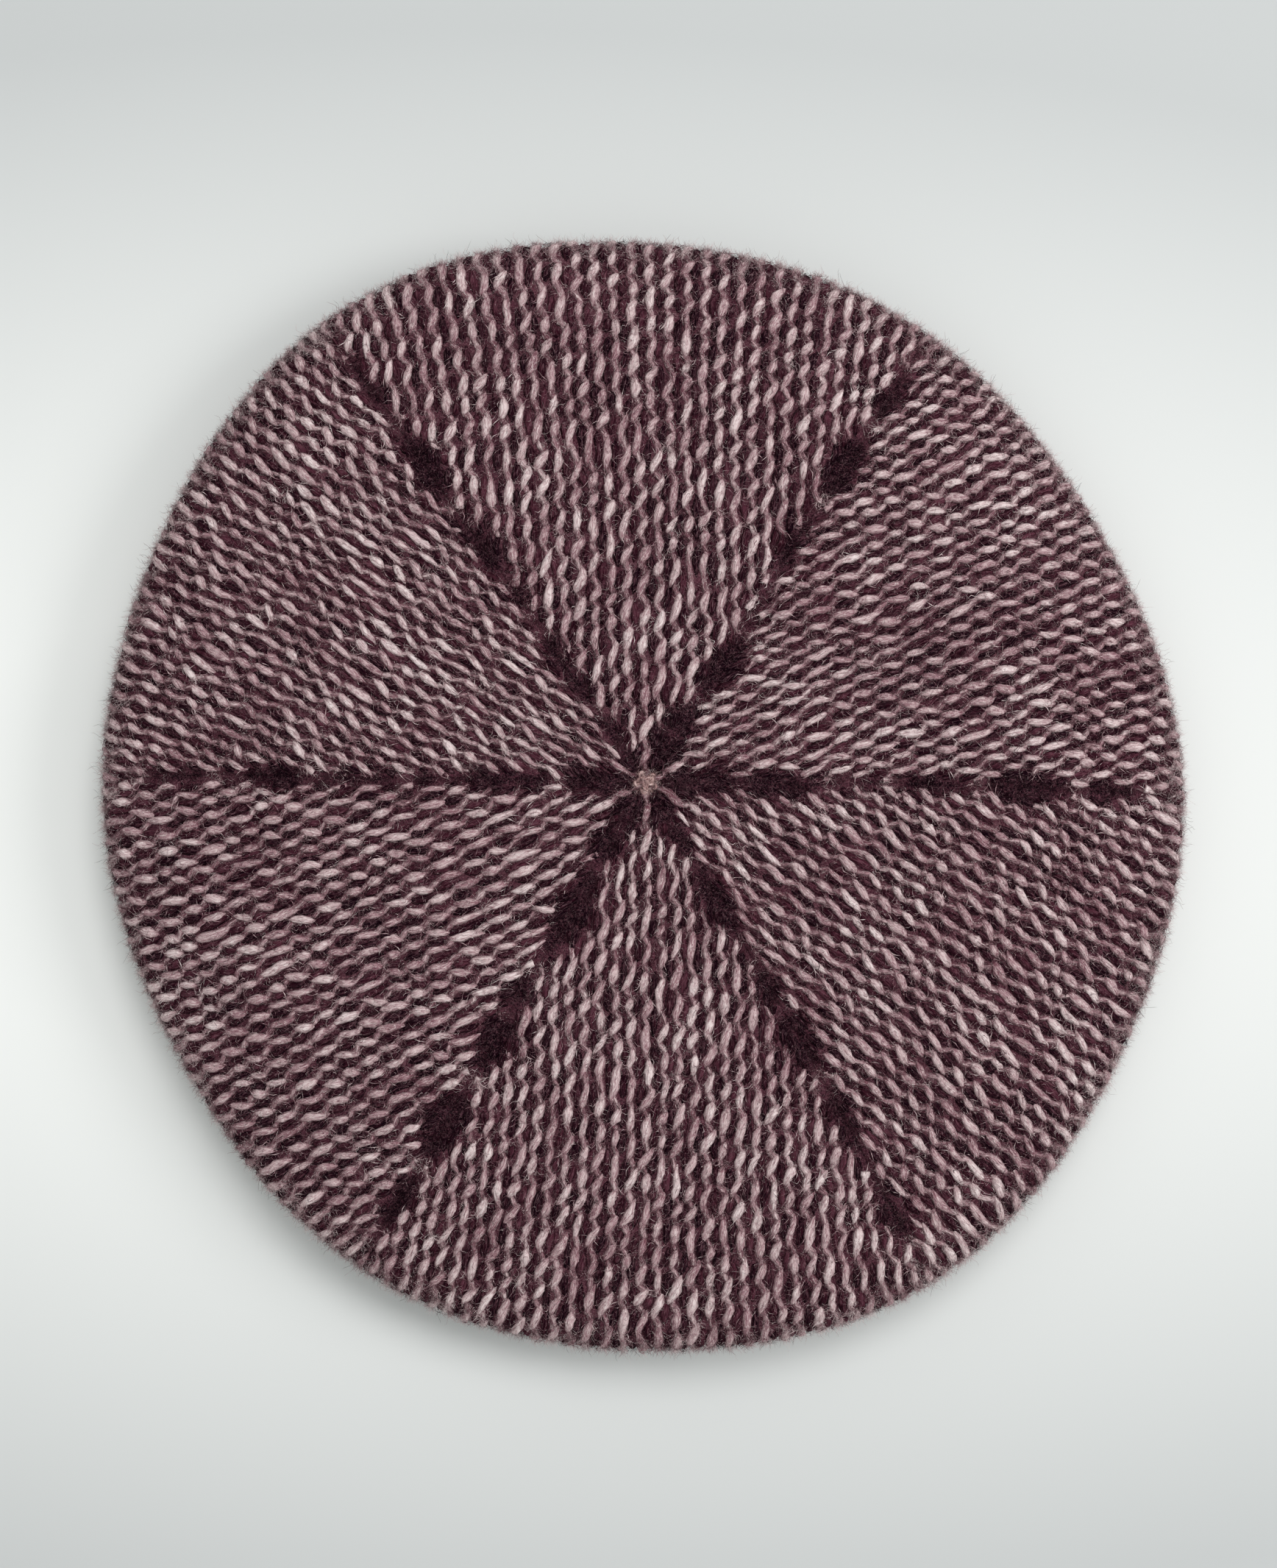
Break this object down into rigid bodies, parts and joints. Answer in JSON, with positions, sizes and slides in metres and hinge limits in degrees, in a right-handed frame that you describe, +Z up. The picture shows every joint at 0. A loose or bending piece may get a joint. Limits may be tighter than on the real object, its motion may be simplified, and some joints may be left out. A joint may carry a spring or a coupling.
{
  "type": "beret",
  "caption": "Round soft knitted beret with a flat sectioned crown, a turned rim, an open underside and a ribbed head band.",
  "frame": {"origin": "on the table under the middle of the head opening, with the beret lying flat, crown up", "axes": "+Z up through the crown's centre; +X along the first line of decreases; +Y to its left"},
  "size_m": [0.28, 0.2799, 0.0313],
  "materials": {
    "two_tone_knit": "matte",
    "dark_yarn": "matte",
    "pale_yarn": "matte",
    "decrease_stitches": "matte",
    "closing_yarn": "matte",
    "band_rib": "matte",
    "band_edge": "matte"
  },
  "bodies": {
    "root": {"crown_wedge_1": "two_tone_knit", "crown_wedge_2": "two_tone_knit", "crown_wedge_3": "two_tone_knit", "crown_wedge_4": "two_tone_knit", "crown_wedge_5": "two_tone_knit", "crown_wedge_6": "two_tone_knit", "decrease_line_1": "decrease_stitches", "decrease_line_2": "decrease_stitches", "decrease_line_3": "decrease_stitches", "decrease_line_4": "decrease_stitches", "decrease_line_5": "decrease_stitches", "decrease_line_6": "decrease_stitches", "crown_centre": "decrease_stitches", "closing_thread": "closing_yarn", "rim_turn": "two_tone_knit", "underside": "two_tone_knit", "increase_round": "two_tone_knit", "ribbed_band": "band_rib", "cast_on_edge": "band_edge", "crown_yarn_tail": "closing_yarn", "pattern_yarn_tail": "pale_yarn"}
  },
  "joints": []
}
